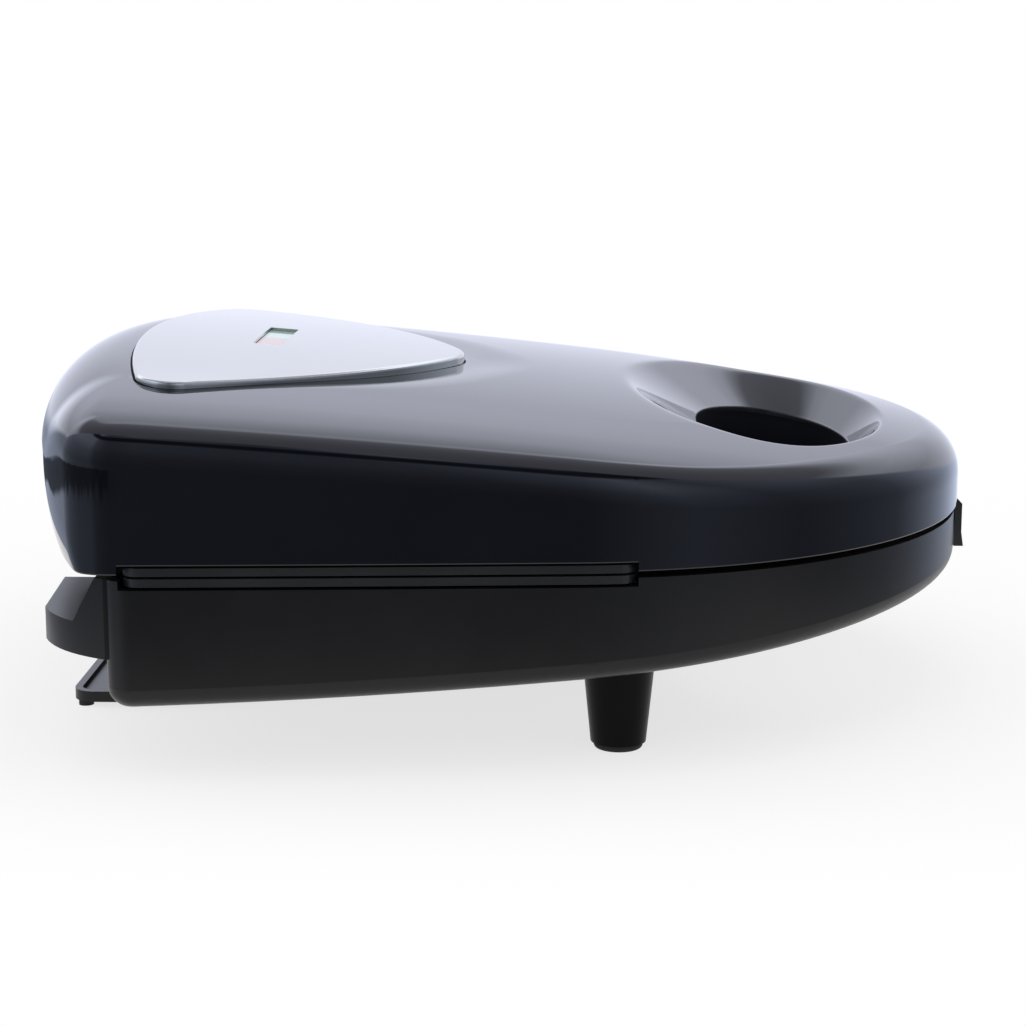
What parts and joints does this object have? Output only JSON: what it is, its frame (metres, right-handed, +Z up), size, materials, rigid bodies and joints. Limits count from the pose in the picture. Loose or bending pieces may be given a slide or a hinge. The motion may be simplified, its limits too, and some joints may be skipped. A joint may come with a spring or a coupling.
{
  "type": "donut maker",
  "caption": "Electric donut maker: a glossy hinged lid with a dished finger hole and silver top plate over a satin base, ring-cavity plates between them, and a front latch.",
  "frame": {"origin": "middle of the bounding box on the table surface, lid closed", "axes": "+X from the hinge to the latch, +Z up, Y across the symmetric width"},
  "size_m": [0.2512, 0.2362, 0.0967],
  "materials": {
    "lid_black": "high gloss",
    "base_black": "satin",
    "silver": "polished",
    "coated_plate": "non-stick coating, satin",
    "steel": "satin",
    "element_steel": "matt",
    "reflector_sheet": "bright",
    "red_lens": "translucent gloss",
    "green_lens": "translucent gloss",
    "lamp_glass": "clear",
    "pale_plastic": "matt",
    "foot_rubber": "matt",
    "fuse_brass": "satin"
  },
  "bodies": {
    "base": {"base_shell": "base_black", "base_front_deck": "base_black", "deck_screws": "steel", "lower_plate": "coated_plate", "lower_element": "element_steel", "lower_element_clamps": "steel", "lower_clamp_screws": "steel", "lower_reflector": "reflector_sheet", "lower_plate_screws": "steel", "front_foot_pads": "foot_rubber", "rear_foot_pads": "foot_rubber", "cord_wrap_bracket": "base_black", "cord_wrap_screws": "steel", "cord_inlet": "base_black", "terminal_block": "pale_plastic", "hinge_pins": "steel"},
    "lid": {"lid_shell": "lid_black", "top_plate": "silver", "power_lens": "red_lens", "ready_lens": "green_lens", "lamp_holder": "pale_plastic", "neon_lamps": "lamp_glass", "upper_plate": "coated_plate", "upper_element": "element_steel", "upper_element_clamps": "steel", "upper_clamp_screws": "steel", "upper_reflector": "reflector_sheet", "upper_plate_screws": "steel", "thermostat": "steel", "thermal_fuse": "fuse_brass", "lid_front_liner": "base_black", "lid_rear_liner": "base_black", "liner_screws": "steel", "latch_pin": "steel"},
    "latch": {"latch": "base_black"}
  },
  "joints": [
    {"name": "lid_hinge", "type": "hinge", "parent": "base", "child": "lid", "pos_m": [-0.10875, 0, 0.046], "axis": [0, -1, 0], "range_deg": [0, 90]},
    {"name": "latch_pivot", "type": "hinge", "parent": "lid", "child": "latch", "pos_m": [0.11965, 0, 0.0554], "axis": [0, -1, 0], "range_deg": [-5, 14]}
  ]
}
